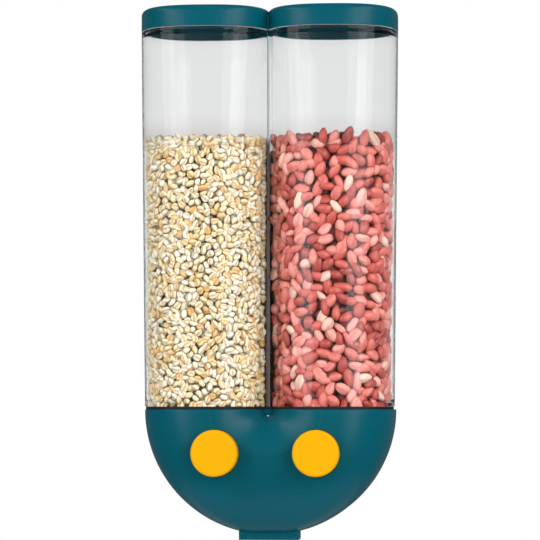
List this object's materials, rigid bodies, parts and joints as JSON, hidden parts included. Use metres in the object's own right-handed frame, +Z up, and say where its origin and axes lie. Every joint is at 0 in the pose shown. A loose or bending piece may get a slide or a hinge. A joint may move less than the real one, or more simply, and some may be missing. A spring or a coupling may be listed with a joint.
{
  "type": "wall-mounted dry food dispenser",
  "caption": "Wall-mounted dry food dispenser with clear twin bins, one lid, a rounded base and push buttons that slide sprung gates over a shared outlet.",
  "frame": {"origin": "middle of the wall bracket's back face, on the wall", "axes": "+Z up; +Y into the wall, so the buttons face -Y; +X to the right of someone facing it"},
  "size_m": [0.18, 0.1029, 0.3695],
  "materials": {
    "teal_plastic": "smooth injection moulding with a soft gloss",
    "clear_plastic": "clear, glossy injection moulding",
    "yellow_plastic": "smooth moulding with a soft gloss",
    "dark_rubber": "matt rubber",
    "white_rubber": "soft translucent silicone",
    "inner_plastic": "plain matt moulding",
    "dark_plastic": "matt moulding",
    "steel": "plain bright steel"
  },
  "bodies": {
    "bracket": {"wall_bracket": "dark_plastic"},
    "dispenser": {"base_shell": "teal_plastic", "rear_cover": "teal_plastic", "rear_cover_screws": "steel", "hopper": "inner_plastic", "hopper_screws": "steel", "gate_tray_left": "inner_plastic", "gate_tray_right": "inner_plastic", "tray_screws": "steel", "outlet_chute": "teal_plastic", "container": "clear_plastic", "container_seal": "dark_rubber", "spring_left": "steel", "spring_right": "steel"},
    "lid": {"lid": "teal_plastic", "lid_seal": "white_rubber"},
    "left_valve": {"button_left": "yellow_plastic", "gate_left": "inner_plastic"},
    "right_valve": {"button_right": "yellow_plastic", "gate_right": "inner_plastic"}
  },
  "joints": [
    {"name": "bracket_lift", "type": "slide", "parent": "bracket", "child": "dispenser", "axis": [0, 0, 1], "range_m": [0, 0.0085]},
    {"name": "lid_lift", "type": "slide", "parent": "dispenser", "child": "lid", "axis": [0, 0, 1], "range_m": [0, 0.06]},
    {"name": "left_push", "type": "slide", "parent": "dispenser", "child": "left_valve", "axis": [0, 1, 0], "range_m": [0, 0.012], "stiffness_N_per_m": 250, "springref_m": -0.008, "deforming": ["spring_left"]},
    {"name": "right_push", "type": "slide", "parent": "dispenser", "child": "right_valve", "axis": [0, 1, 0], "range_m": [0, 0.012], "stiffness_N_per_m": 250, "springref_m": -0.008, "deforming": ["spring_right"]}
  ]
}
